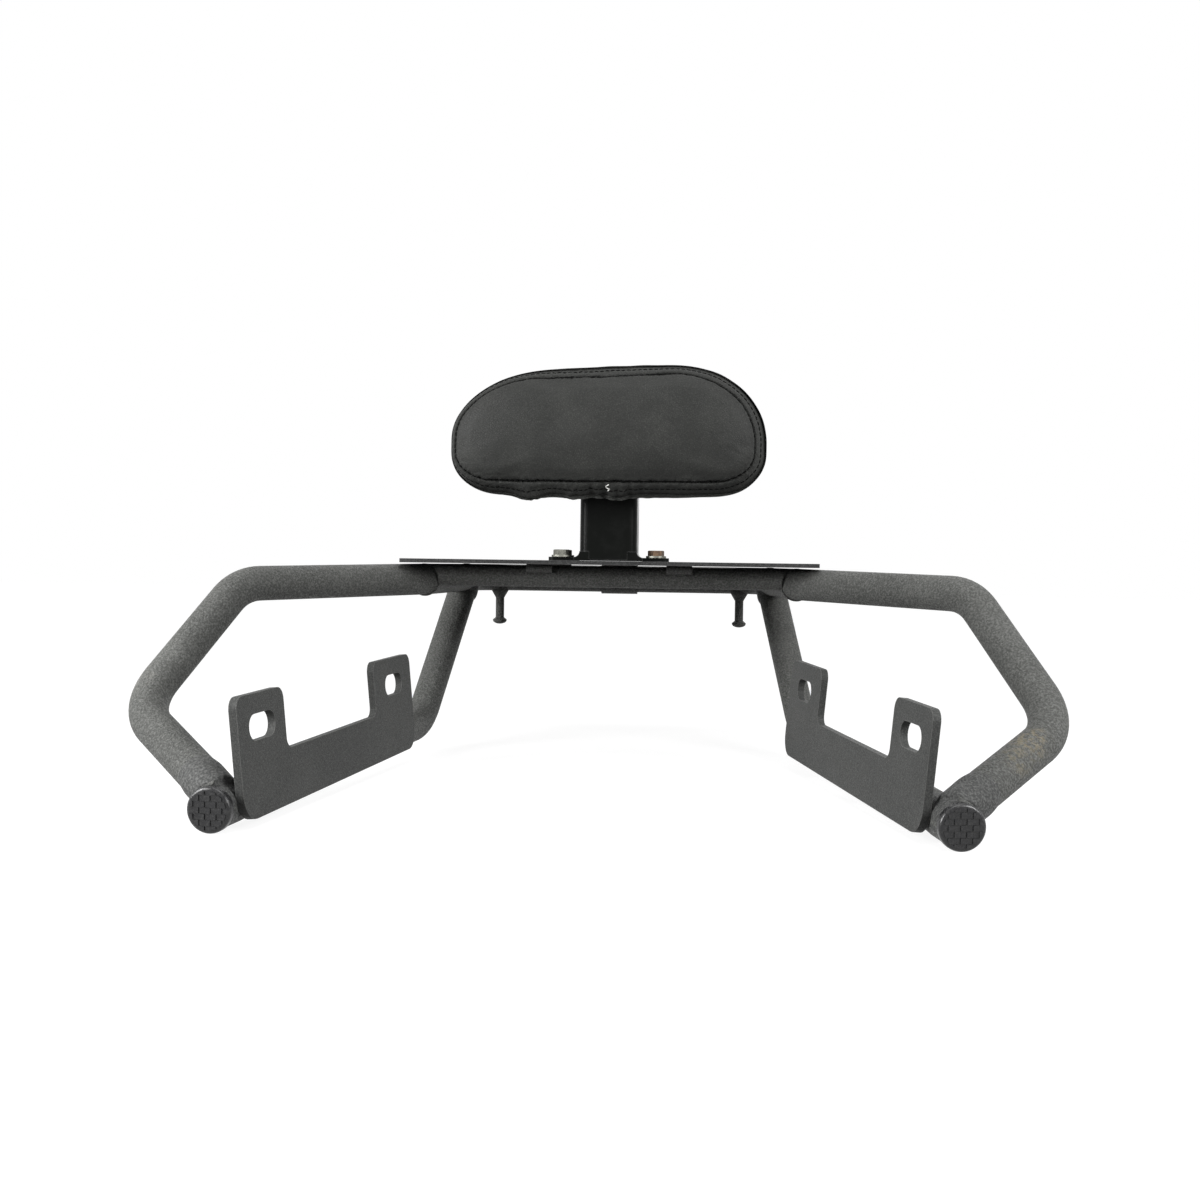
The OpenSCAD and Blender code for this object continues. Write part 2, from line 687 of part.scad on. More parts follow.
side_loop_left();
side_loop_right();
rack_rail_left();
rack_rail_right();
lower_tube_left();
lower_tube_right();
cross_tube();
rear_sleeve();
carrier_plate();
plate_welds();
bracket_left();
bracket_right();
bracket_welds_left();
bracket_welds_right();
end_plug_left();
end_plug_right();
hook_pin_left();
hook_pin_right();
backrest_post();
post_bolt_front_left();
post_bolt_front_right();
post_bolt_rear_left();
post_bolt_rear_right();
post_washer_front_left();
post_washer_front_right();
post_washer_rear_left();
post_washer_rear_right();
pad_board();
pad_cushion();
pad_screw_upper();
pad_screw_lower();
pad_washer_upper();
pad_washer_lower();
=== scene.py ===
import json
import math

import bmesh
import bpy
import numpy as np
from mathutils import Matrix, Vector, noise
from mathutils.bvhtree import BVHTree


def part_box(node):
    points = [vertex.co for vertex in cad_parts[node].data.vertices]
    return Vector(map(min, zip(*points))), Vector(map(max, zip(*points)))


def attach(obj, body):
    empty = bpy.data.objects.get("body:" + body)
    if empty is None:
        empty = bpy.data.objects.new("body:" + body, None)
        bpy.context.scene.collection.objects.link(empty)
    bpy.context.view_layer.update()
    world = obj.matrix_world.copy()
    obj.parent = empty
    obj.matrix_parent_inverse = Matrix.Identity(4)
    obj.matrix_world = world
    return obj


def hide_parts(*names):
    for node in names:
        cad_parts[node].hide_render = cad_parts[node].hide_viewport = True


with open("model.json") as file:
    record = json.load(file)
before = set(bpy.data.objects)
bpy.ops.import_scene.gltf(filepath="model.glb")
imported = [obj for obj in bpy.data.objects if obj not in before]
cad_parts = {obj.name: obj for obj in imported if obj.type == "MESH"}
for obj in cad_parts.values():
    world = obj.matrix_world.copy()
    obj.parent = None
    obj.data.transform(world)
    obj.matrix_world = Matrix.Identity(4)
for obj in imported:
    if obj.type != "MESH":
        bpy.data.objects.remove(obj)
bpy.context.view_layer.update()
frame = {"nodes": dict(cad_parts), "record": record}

nodes = frame["nodes"]
scene = bpy.context.scene
print("frame loaded:", len(nodes), "nodes")

# the tubes' own sizes in metres, and where their bends lie from the cross tube and the rack
tube = {"outer": 0.022, "rackHalf": 0.131, "legHalf": 0.122, "legBack": 0.140, "rearBack": 0.190,
        "lowerFrontHalf": 0.190, "lowerFrontAhead": 0.280, "lowerRearHalf": 0.142, "lowerRearBack": 0.046,
        "lowerRise": 0.008, "frameHigh": 0.116, "loopOut": (0.260, -0.201, -0.074),
        "loopTop": (0.225, -0.124, -0.003), "footBack": 0.008, "footRise": 0.005}


def middle(low, high):
    return (low + high) / 2


crossY = middle(*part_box("cross_tube")).y
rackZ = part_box("rack_rail_right")[1].z - tube["outer"] / 2
lowerZ = rackZ - tube["frameHigh"]
lowerFront = Vector((tube["lowerFrontHalf"], crossY - tube["lowerFrontAhead"], lowerZ))
lowerRear = Vector((tube["lowerRearHalf"], crossY + tube["lowerRearBack"], lowerZ + tube["lowerRise"]))
lowerWay = (lowerRear - lowerFront).normalized()
legTop = Vector((tube["legHalf"], crossY + tube["legBack"], rackZ))
rackFront = Vector((tube["rackHalf"], crossY, rackZ))
rearTaper = (tube["rackHalf"] - tube["legHalf"]) * (tube["rearBack"] / tube["legBack"] - 1)
rackRear = Vector((tube["legHalf"] - rearTaper, crossY + tube["rearBack"], rackZ))
loopOut = Vector((tube["loopOut"][0], crossY + tube["loopOut"][1], rackZ + tube["loopOut"][2]))
loopTop = Vector((tube["loopTop"][0], crossY + tube["loopTop"][1], rackZ + tube["loopTop"][2]))
loopFoot = lowerFront + lowerWay * tube["footBack"] + Vector((0, 0, tube["footRise"]))


# a shader node with its inputs: a socket is linked, anything else is set
def addNode(tree, kind, inputs=None, **settings):
    node = tree.nodes.new(kind)
    for name, value in settings.items():
        setattr(node, name, value)
    for name, value in (inputs or {}).items():
        if isinstance(value, bpy.types.NodeSocket):
            tree.links.new(value, node.inputs[name])
        else:
            node.inputs[name].default_value = value
    return node


def startMaterial(name, **sockets):
    material = bpy.data.materials.new(name)
    material.use_nodes = True
    shader = material.node_tree.nodes["Principled BSDF"]
    for socket, value in sockets.items():
        shader.inputs[socket.replace("_", " ")].default_value = value
    return material, material.node_tree, shader


def objectPlace(tree):
    return addNode(tree, "ShaderNodeTexCoord").outputs["Object"]


def grainNoise(tree, place, size, detail=2.0, rough=0.5):
    inputs = {"Vector": place, "Scale": 1 / size, "Detail": detail, "Roughness": rough}
    return addNode(tree, "ShaderNodeTexNoise", inputs).outputs["Fac"]


def spread(tree, value, low, high, outLow=0.0, outHigh=1.0):
    inputs = {"Value": value, "From Min": low, "From Max": high, "To Min": outLow, "To Max": outHigh}
    return addNode(tree, "ShaderNodeMapRange", inputs).outputs["Result"]


def calc(tree, how, first, second):
    return addNode(tree, "ShaderNodeMath", {0: first, 1: second}, operation=how).outputs["Value"]


def vectorMath(tree, how, inputs, result="Value"):
    return addNode(tree, "ShaderNodeVectorMath", inputs, operation=how).outputs[result]


def mixColour(tree, amount, first, second):
    node = addNode(tree, "ShaderNodeMix", {"Factor": amount}, data_type="RGBA")
    for slot, value in (("A", first), ("B", second)):
        socket = [s for s in node.inputs if s.name == slot and s.type == "RGBA"][0]
        if isinstance(value, bpy.types.NodeSocket):
            tree.links.new(value, socket)
        else:
            socket.default_value = (*value, 1)
    return [s for s in node.outputs if s.type == "RGBA"][0]


def bumpOn(tree, shader, *layers):
    normal = None
    for height, strength, distance in layers:
        inputs = {"Height": height, "Strength": strength, "Distance": distance}
        if normal:
            inputs["Normal"] = normal
        normal = addNode(tree, "ShaderNodeBump", inputs).outputs["Normal"]
    tree.links.new(normal, shader.inputs["Normal"])


# 1 near a place on the object, fading to 0 at its radius
def nearPlace(tree, place, centre, radius):
    gap = vectorMath(tree, "DISTANCE", {0: place, 1: centre})
    return spread(tree, gap, radius, radius * 0.3)


# 1 on outer edges, where a lighter colour is laid on as a painted highlight
def paintedEdgeHighlight(tree, radius, low, high):
    bevel = addNode(tree, "ShaderNodeBevel", {"Radius": radius}, samples=6).outputs["Normal"]
    flat = addNode(tree, "ShaderNodeNewGeometry").outputs["Normal"]
    same = vectorMath(tree, "DOT_PRODUCT", {0: bevel, 1: flat})
    return spread(tree, same, 1 - low, 1 - high)


# how the coats' grain, clouds, scuffs and painted edge highlights are spread: from, to, and what that gives
coatSpread = {"specular": 0.14, "fine": (0.42, 0.66, 0.0, 0.8), "cloudSize": 0.06,
              "cloud": (0.35, 0.7, -0.1, 0.2), "scuffSize": 0.004, "scuff": (0.48, 0.60),
              "edgeHighlightSpread": (0.02, 0.12), "edgeHighlightPatchSize": 0.006, "edgeHighlightPatch": (0.35, 0.6, 0.5, 1.0),
              "gloss": (0.3, 0.7), "lumpBump": 0.5, "lumpDepth": 1.6}
textureCoat = {"dark": (0.056, 0.057, 0.054), "light": (0.140, 0.142, 0.135),
               "grain": 0.0012, "lump": 0.0034, "rough": (0.42, 0.75), "bump": 1.0, "depth": 0.0010}
scuffMarks = [((0.236, -0.190, 0.052), 0.016, (0.26, 0.21, 0.12), 0.40),
              ((0.226, -0.203, 0.042), 0.012, (0.24, 0.20, 0.12), 0.30),
              ((-0.262, -0.150, 0.066), 0.016, (0.26, 0.25, 0.23), 0.45)]


def sandyCoat(name, look, marks=(), edges=None):
    material, tree, shader = startMaterial(name, Specular_IOR_Level=coatSpread["specular"])
    place = objectPlace(tree)
    fine = grainNoise(tree, place, look["grain"], 3.0, 0.6)
    lumps = grainNoise(tree, place, look["lump"], 2.0)
    cloud = grainNoise(tree, place, coatSpread["cloudSize"], 2.0)
    blend = calc(tree, "ADD", spread(tree, fine, *coatSpread["fine"]),
                 spread(tree, cloud, *coatSpread["cloud"]))
    colour = mixColour(tree, blend, look["dark"], look["light"])
    for centre, radius, tint, amount in marks:
        near = nearPlace(tree, place, centre, radius)
        patchy = grainNoise(tree, place, coatSpread["scuffSize"], 5.0, 0.7)
        patchy = spread(tree, patchy, *coatSpread["scuff"])
        rubbed = calc(tree, "MULTIPLY", calc(tree, "MULTIPLY", near, patchy), amount)
        colour = mixColour(tree, rubbed, colour, tint)
    # a lighter colour along outer edges, broken into patches: a painted highlight
    if edges:
        paintedLitEdge = paintedEdgeHighlight(tree, edges["radius"], *coatSpread["edgeHighlightSpread"])
        paintedLitEdge = calc(tree, "MULTIPLY", paintedLitEdge, edges["amount"])
        patchy = grainNoise(tree, place, coatSpread["edgeHighlightPatchSize"], 4.0)
        patchy = spread(tree, patchy, *coatSpread["edgeHighlightPatch"])
        colour = mixColour(tree, calc(tree, "MULTIPLY", paintedLitEdge, patchy), colour, edges["colour"])
    tree.links.new(colour, shader.inputs["Base Color"])
    rough = spread(tree, fine, *coatSpread["gloss"], *reversed(look["rough"]))
    tree.links.new(rough, shader.inputs["Roughness"])
    bump, depth = look["bump"], look["depth"]
    bumpOn(tree, shader, (lumps, bump * coatSpread["lumpBump"], depth * coatSpread["lumpDepth"]),
           (fine, bump, depth))
    return material


plateCoat = {"dark": (0.018, 0.018, 0.018), "light": (0.055, 0.055, 0.055),
             "grain": 0.0008, "lump": 0.0024, "rough": (0.5, 0.8), "bump": 0.6, "depth": 0.0003}
# the plate's and brackets' edges are given a lighter colour as a painted highlight
plateEdgeHighlight = {"radius": 0.0009, "amount": 0.25, "colour": (0.16, 0.16, 0.16)}
bracketCoat = {"dark": (0.036, 0.037, 0.036), "light": (0.074, 0.075, 0.072),
               "grain": 0.0008, "lump": 0.0026, "rough": (0.50, 0.75), "bump": 0.5, "depth": 0.0003}
bracketEdgeHighlight = {"radius": 0.0007, "amount": 0.35, "colour": (0.26, 0.26, 0.25)}
weldCoat = {"dark": (0.038, 0.039, 0.038), "light": (0.120, 0.121, 0.118),
            "grain": 0.0012, "lump": 0.0035, "rough": (0.45, 0.7), "bump": 0.8, "depth": 0.0006}
beadCoat = {"dark": (0.060, 0.060, 0.058), "light": (0.17, 0.17, 0.165),
            "grain": 0.0010, "lump": 0.0030, "rough": (0.40, 0.6), "bump": 0.6, "depth": 0.0004}

# the post's edges get a lighter grey as a painted highlight; its dust is its own
satinPaint = {"colour": (0.004, 0.0045, 0.004), "dusty": (0.03, 0.03, 0.03), "paintedLitEdge": (0.10, 0.10, 0.10),
              "edge": 0.0010, "edgeHighlightSpread": (0.03, 0.2), "paintedLitEdgeShare": 0.4, "specular": 0.06,
              "rough": (0.28, 0.45), "peelSize": 0.0016, "peel": (0.25, 0.0002), "dustSize": 0.012,
              "dust": (0.45, 0.75), "dustShare": 0.12}


def satinBlack(name):
    look = satinPaint
    material, tree, shader = startMaterial(name, Specular_IOR_Level=look["specular"])
    place = objectPlace(tree)
    orangePeel = grainNoise(tree, place, look["peelSize"], 2.0)
    dust = spread(tree, grainNoise(tree, place, look["dustSize"], 5.0, 0.7), *look["dust"])
    dusty = calc(tree, "MULTIPLY", dust, look["dustShare"])
    colour = mixColour(tree, dusty, look["colour"], look["dusty"])
    # a lighter grey along the post's edges: a painted highlight
    paintedLitEdge = calc(tree, "MULTIPLY", paintedEdgeHighlight(tree, look["edge"], *look["edgeHighlightSpread"]), look["paintedLitEdgeShare"])
    tree.links.new(mixColour(tree, paintedLitEdge, colour, look["paintedLitEdge"]), shader.inputs["Base Color"])
    tree.links.new(spread(tree, dust, 0.0, 1.0, *look["rough"]), shader.inputs["Roughness"])
    bumpOn(tree, shader, (orangePeel, *look["peel"]))
    return material


# black leatherette: small closed cells with fine creases, and softly lighter where it is rubbed
leatherLook = {"dark": (0.009, 0.0095, 0.009), "rubbed": (0.074, 0.075, 0.070), "specular": 0.15,
               "rough": (0.52, 0.68), "cell": 0.0013, "wobble": 500.0, "wobbleBy": 0.0007,
               "pebble": (0.0, 0.28), "pebbleBump": (0.35, 0.0003), "patch": 0.030,
               "patches": (0.45, 0.72), "patchShare": 0.22,
               "fineSize": 0.0006, "fine": (0.35, 0.75, 0.14, 0.44), "fineBump": (0.25, 0.0001),
               "inCracks": 0.45, "creaseSize": 0.007, "crease": (0.15, 0.0010)}


def leatherette(name):
    look = leatherLook
    material, tree, shader = startMaterial(name, Specular_IOR_Level=look["specular"])
    place = objectPlace(tree)
    wobble = addNode(tree, "ShaderNodeTexNoise", {"Vector": place, "Scale": look["wobble"]})
    bent = vectorMath(tree, "SCALE", {0: wobble.outputs["Color"], "Scale": look["wobbleBy"]}, "Vector")
    grainPlace = vectorMath(tree, "ADD", {0: place, 1: bent}, "Vector")
    cells = addNode(tree, "ShaderNodeTexVoronoi", {"Vector": grainPlace, "Scale": 1 / look["cell"]},
                    feature="DISTANCE_TO_EDGE").outputs["Distance"]
    pebble = spread(tree, cells, *look["pebble"])
    patches = spread(tree, grainNoise(tree, place, look["patch"], 3.0, 0.55), *look["patches"])
    fine = grainNoise(tree, place, look["fineSize"], 3.0)
    rubbed = calc(tree, "ADD", calc(tree, "MULTIPLY", patches, look["patchShare"]),
                  spread(tree, fine, *look["fine"]))
    rubbed = calc(tree, "MULTIPLY", rubbed, spread(tree, pebble, 0, 1, look["inCracks"], 1.0))
    colour = mixColour(tree, rubbed, look["dark"], look["rubbed"])
    tree.links.new(colour, shader.inputs["Base Color"])
    tree.links.new(spread(tree, patches, 0.0, 1.0, *look["rough"]), shader.inputs["Roughness"])
    creases = grainNoise(tree, place, look["creaseSize"], 3.0)
    bumpOn(tree, shader, (creases, *look["crease"]), (pebble, *look["pebbleBump"]),
           (fine, *look["fineBump"]))
    return material


# zinc plate on the bolts and washers, spotted where it has dulled
plateMetal = {"spotSize": 0.0022, "spots": (0.42, 0.66), "rougher": 0.25, "grainSize": 0.0009,
              "grain": (0.3, 0.0002)}


def platedMetal(name, colour, dull, rough):
    material, tree, shader = startMaterial(name, Metallic=1.0)
    place = objectPlace(tree)
    spots = grainNoise(tree, place, plateMetal["spotSize"], 5.0, 0.7)
    spots = spread(tree, spots, *plateMetal["spots"])
    tree.links.new(mixColour(tree, spots, colour, dull), shader.inputs["Base Color"])
    dulled = spread(tree, spots, 0.0, 1.0, rough, rough + plateMetal["rougher"])
    tree.links.new(dulled, shader.inputs["Roughness"])
    bumpOn(tree, shader, (grainNoise(tree, place, plateMetal["grainSize"], 3.0), *plateMetal["grain"]))
    return material


plugPlastic = {"dark": (0.009, 0.009, 0.010), "light": (0.026, 0.026, 0.026), "specular": 0.4,
               "mottleSize": 0.0012, "tone": (0.45, 0.7), "rough": (0.35, 0.7, 0.22, 0.42),
               "bump": (0.2, 0.0002)}


def mouldedPlastic(name):
    look = plugPlastic
    material, tree, shader = startMaterial(name, Specular_IOR_Level=look["specular"])
    mottle = grainNoise(tree, objectPlace(tree), look["mottleSize"], 3.0)
    tree.links.new(spread(tree, mottle, *look["rough"]), shader.inputs["Roughness"])
    colour = mixColour(tree, spread(tree, mottle, *look["tone"]), look["dark"], look["light"])
    tree.links.new(colour, shader.inputs["Base Color"])
    bumpOn(tree, shader, (mottle, *look["bump"]))
    return material


boardStain = {"dark": (0.020, 0.018, 0.016), "light": (0.060, 0.052, 0.044), "rough": 0.75,
              "stretch": (8, 120, 160), "fibre": 6.0, "tone": (0.35, 0.7), "bump": (0.35, 0.0003)}


def stainedBoard(name):
    look = boardStain
    material, tree, shader = startMaterial(name, Roughness=look["rough"])
    long = addNode(tree, "ShaderNodeMapping", {"Vector": objectPlace(tree), "Scale": look["stretch"]})
    inputs = {"Vector": long.outputs["Vector"], "Scale": look["fibre"], "Detail": 4.0}
    fibres = addNode(tree, "ShaderNodeTexNoise", inputs).outputs["Fac"]
    colour = mixColour(tree, spread(tree, fibres, *look["tone"]), look["dark"], look["light"])
    tree.links.new(colour, shader.inputs["Base Color"])
    bumpOn(tree, shader, (fibres, *look["bump"]))
    return material


threadTwist = {"rough": 0.8, "specular": 0.05, "twist": 900.0, "uneven": 1.5, "bump": (0.4, 0.0001)}


def threadLook(name, colour, light):
    look = threadTwist
    material, tree, shader = startMaterial(name, Roughness=look["rough"],
                                           Specular_IOR_Level=look["specular"])
    inputs = {"Vector": objectPlace(tree), "Scale": look["twist"], "Distortion": look["uneven"]}
    twist = addNode(tree, "ShaderNodeTexWave", inputs).outputs["Fac"]
    tree.links.new(mixColour(tree, twist, colour, light), shader.inputs["Base Color"])
    bumpOn(tree, shader, (twist, *look["bump"]))
    return material


coat = sandyCoat("sandyTubeCoat", textureCoat, scuffMarks)
weldPaint = sandyCoat("weldPaint", weldCoat, scuffMarks)
finishes = {
    "texture_coat": coat,
    "plate_coat": sandyCoat("plateCoat", plateCoat, edges=plateEdgeHighlight),
    "bracket_coat": sandyCoat("bracketCoat", bracketCoat, edges=bracketEdgeHighlight),
    "satin_black": satinBlack("postPaint"),
    "leatherette": leatherette("padLeatherette"),
    "board": stainedBoard("padBoard"),
    "plug_plastic": mouldedPlastic("plugPlastic"),
    "zinc_steel": platedMetal("paleZinc", (0.24, 0.24, 0.21), (0.10, 0.10, 0.09), 0.45),
    "yellow_zinc": platedMetal("yellowZinc", (0.15, 0.10, 0.065), (0.06, 0.045, 0.038), 0.45),
}
slotOf = {part["node"]: part["material_slot"] for part in frame["record"]["subparts"]}


for name, piece in nodes.items():
    own = finishes[slotOf[name]]
    if name == "plate_welds":
        own = sandyCoat("beadCoat", beadCoat)
    if name.startswith("bracket_welds"):
        own = weldPaint
    for slot in piece.material_slots:
        slot.material = own
print("finishes on the frame")


# a new piece from points and faces, in place in the frame
def newPiece(name, points, faces, material, smooth=True):
    mesh = bpy.data.meshes.new(name)
    mesh.from_pydata([tuple(p) for p in points], [], faces)
    mesh.validate()
    mesh.update()
    for face in mesh.polygons:
        face.use_smooth = smooth
    piece = bpy.data.objects.new(name, mesh)
    scene.collection.objects.link(piece)
    piece.data.materials.append(material)
    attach(piece, "root")
    return piece


# points and faces of a round bead along a line of points
def beadAlong(line, radii, sides=10, closed=False):
    line = [Vector(p) for p in line]
    count = len(line)
    points, faces = [], []
    across = None
    for i, here in enumerate(line):
        ahead = line[(i + 1) % count] if closed or i < count - 1 else here
        behind = line[i - 1] if closed or i else here
        way = (ahead - behind).normalized()
        across = (across or way.orthogonal())
        across = (across - way * across.dot(way)).normalized()
        other = way.cross(across)
        for k in range(sides):
            a = 2 * math.pi * k / sides
            points.append(here + (across * math.cos(a) + other * math.sin(a)) * radii[i])
    for i in range(count if closed else count - 1):
        for k in range(sides):
            a, b = i * sides + k, i * sides + (k + 1) % sides
            c, d = (a + sides) % len(points), (b + sides) % len(points)
            faces.append((a, b, d, c))
    if not closed:
        faces += [tuple(range(sides))[::-1], tuple(range(len(points) - sides, len(points)))]
    return points, faces


def joined(parts):
    points, faces = [], []
    for some, their in parts:
        faces += [tuple(v + len(points) for v in face) for face in their]
        points += some
    return points, faces


# where lines along a round tube meet a plane
def weldLine(start, way, radius, planeAt, planeWay, steps=96):
    way = way.normalized()
    across = way.orthogonal().normalized()
    other = way.cross(across)
    line = []
    for k in range(steps):
        a = 2 * math.pi * k / steps
        edge = start + (across * math.cos(a) + other * math.sin(a)) * radius
        line.append(edge + way * ((planeAt - edge).dot(planeWay) / way.dot(planeWay)))
    return line


def applied(piece):
    done = bpy.data.meshes.new_from_object(piece.evaluated_get(bpy.context.evaluated_depsgraph_get()))
    old = piece.data
    piece.modifiers.clear()
    piece.data = done
    bpy.data.meshes.remove(old)


# the painted fillets where tubes are welded: how far they reach along the tubes and how proud they are
joints = {"grain": 0.0011, "over": 0.0006, "under": 0.0004, "soft": 0.5, "rounds": 14, "sides": 48,
          "footAlong": (0.001, 0.022, 0.040), "footUp": (0.0, 0.019, 0.030), "footWider": 0.0004,
          "plugClear": 0.0009, "bracketClear": 0.0001, "legDown": (0.0, 0.0125, 0.0165, 0.0185),
          "railAlong": 0.022, "collar": 0.0014, "underPlate": 0.0003, "seam": 0.0006, "seamUneven": 0.2,
          "seamDrop": 0.0004}


# a smooth painted fillet where tubes meet: stubs of them run together, and softened
def runTogether(name, stubs, keepIn, material):
    points, faces = joined([beadAlong(line, radii, sides=joints["sides"]) for line, radii in stubs])
    piece = newPiece(name, points, faces, material)
    grown = piece.modifiers.new("grown", "REMESH")
    grown.mode, grown.voxel_size, grown.use_smooth_shade = "VOXEL", joints["grain"], True
    soft = piece.modifiers.new("soft", "SMOOTH")
    soft.factor, soft.iterations = joints["soft"], joints["rounds"]
    bpy.context.view_layer.update()
    applied(piece)
    for point in piece.data.vertices:
        for place, way, most in keepIn:
            past = (point.co - place).dot(way) - most
            if past > 0:
                point.co -= way * past
    for face in piece.data.polygons:
        face.use_smooth = True
    return piece


def flipped(value):
    return Vector((-value.x, value.y, value.z))


def makeJoints():
    half = tube["outer"] / 2
    wide, thin = half + joints["over"], half - joints["under"]
    rackWay = (rackRear - rackFront).normalized()
    leg = (lowerRear - legTop).normalized()
    loop = (loopOut - loopFoot).normalized()
    inboard = Vector((-lowerWay.y, lowerWay.x, 0)).normalized()
    wider = wide + joints["footWider"]
    foot = [([lowerFront + lowerWay * far for far in joints["footAlong"]], [wide, wide, thin]),
            ([loopFoot + loop * far for far in joints["footUp"]], [wide, wider, thin])]
    footIn = [(lowerFront, -lowerWay, -joints["plugClear"]),
              (lowerFront, inboard, half - joints["bracketClear"])]
    collar, reach = half + joints["collar"], joints["railAlong"]
    top = [([legTop + leg * far for far in joints["legDown"]], [wide, collar, collar, thin]),
           ([legTop + rackWay * far for far in (-reach, 0, reach)], [thin, wide, thin])]
    topIn = [(legTop, Vector((0, 0, 1)), half + joints["underPlate"])]
    mitre = weldLine(loopTop.lerp(rackFront, 0.5), rackFront - loopTop, half, rackFront,
                     ((rackFront - loopTop).normalized() + rackWay).normalized())
    for name, stubs, keepIn in (("foot_fillet", foot, footIn), ("leg_fillet", top, topIn)):
        runTogether(name + "_right", stubs, keepIn, weldPaint)
        runTogether(name + "_left", [([flipped(p) for p in line], radii) for line, radii in stubs],
                    [(flipped(place), flipped(way), most) for place, way, most in keepIn], weldPaint)
    for side, line in (("right", mitre), ("left", [flipped(p) for p in mitre])):
        wobbles = [noise.noise(Vector((k * 0.3, 0, len(side)))) for k in range(len(line))]
        size = [joints["seam"] * (1 + joints["seamUneven"] * wobble) for wobble in wobbles]
        lowered = [p - Vector((0, 0, joints["seamDrop"])) for p in line]
        points, faces = beadAlong(lowered, size, closed=True)
        newPiece("mitre_seam_" + side, points, faces, coat)
    print("tube joints filled")


makeJoints()

# the post's closed foot: a blank that fills the web's lower corners and flares into the feet
postFoot = {"halfWide": 0.01975, "sheet": 0.0025, "bend": 0.0040, "edge": 0.0003, "lift": 0.0001,
            "rounds": 8}


def makePostFoot():
    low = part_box("backrest_post")[0]
    half, bend, sheet = postFoot["halfWide"], postFoot["bend"], postFoot["sheet"]
    curl = bend + sheet
    flare = [(half + bend - bend * math.sin(a), curl - bend * math.cos(a))
             for a in (math.pi / 2 * k / postFoot["rounds"] for k in range(postFoot["rounds"] + 1))]
    right = [(half + bend, postFoot["lift"])] + flare
    outline = right + [(-x, z) for x, z in right[::-1]]
    count = len(outline)
    ahead, behind = low.y + postFoot["edge"], low.y + curl + postFoot["edge"]
    points = [(x, y, low.z + z) for y in (ahead, behind) for x, z in outline]
    faces = [tuple(range(count)), tuple(range(2 * count - 1, count - 1, -1))]
    faces += [(k, k + count, (k + 1) % count + count, (k + 1) % count) for k in range(count)]
    newPiece("post_foot_blank", points, faces, finishes["satin_black"], smooth=False)
    print("foot of the post closed")


makePostFoot()

# the pad: its corners across and up, how it is drawn in, filled and brought back, and how it is sewn
pad = {"topCorner": (0.062, 0.050), "lowCorner": (0.032, 0.028), "cornerSteps": 40, "drawnIn": 0.0024,
       "across": 49, "side": 23, "share": 0.36, "ridge": 0.62, "crown": 0.0072, "panelCrown": 0.28,
       "seamIn": 0.0062, "seamDepth": 0.0014, "bandAt": 0.0150, "bandDepth": 0.0005,
       "moreRight": 0.30, "lessLeft": 0.40, "moreLow": 0.40,
       "filledBy": 0.0030, "pressure": 4, "steps": 20, "quality": 6, "heldAt": 0.0015, "merge": 0.0001,
       "stitch": 0.0036, "stitchLong": 0.0027, "ringReach": 0.13, "seamLift": (0.0, 0.0012),
       "bandLift": (0.0002, 0.0001), "seamThick": 0.00105, "bandThick": 0.00040,
       "lean": 0.043, "wedge": 0.0030, "bulge": 0.0034, "proudSide": 0.0026, "proudTop": 0.0018,
       "lowLimit": 0.0055, "highLimit": (0.004, 0, 0.005)}
# its rings: shares of the front panel, inset and depth over the edge and down the side, and the back
padRing = {"panelIn": 0.016, "panelStep": 0.03, "panel": (1.0, 0.86, 0.7, 0.54, 0.4, 0.27, 0.16, 0.07, 0.0),
           "edge": ((0.0130, 0.36), (0.0105, 0.50), (0.0085, 0.68), (0.0072, 0.84), (0.0062, 1.0),
                    (0.0052, 1.10), (0.0040, 1.30), (0.0026, 1.65), (0.0014, 2.2), (0.0006, 2.8)),
           "wall": ((0.0, 0.45), (0.0, 0.56), (0.0, 0.68), (0.0006, 0.80), (0.0016, 0.90), (0.0034, 0.965),
                    (0.0060, 1.0)),
           "backIn": 0.0100, "back": (0.15, 0.4, 0.7, 1.0)}
# its creases: the seam's puckers, the folds at the post, and the loose flaps as place, width and share
padCrease = {"soft": 0.0008, "small": 0.0003, "ridge": 0.0003, "panelSide": 0.0004, "pucker": 0.0007,
             "topAt": 0.020, "topWide": 0.028, "fold": 0.0010, "foldStep": 0.0085, "foldAt": 0.002,
             "foldWide": 0.024, "flaps": ((-0.053, 0.010, 1.0), (-0.022, 0.008, 0.55), (0.007, 0.007, 0.6)),
             "drop": 0.0046, "forward": 0.0015}
padLow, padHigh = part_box("pad_cushion")
padMiddle = middle(padLow, padHigh)
halfWide, halfHigh = (padHigh.x - padLow.x) / 2, (padHigh.z - padLow.z) / 2


# one quarter of the outline from the end of its flat to the middle of its side, as places across and up
def cornerCurve(cornerSize, sign):
    wide, high = cornerSize
    steps = pad["cornerSteps"]
    turn = [math.radians(90 * k / steps) for k in range(steps + 1)]
    return [(halfWide - wide + wide * math.sin(a), sign * (halfHigh - high + high * math.cos(a)))
            for a in turn]


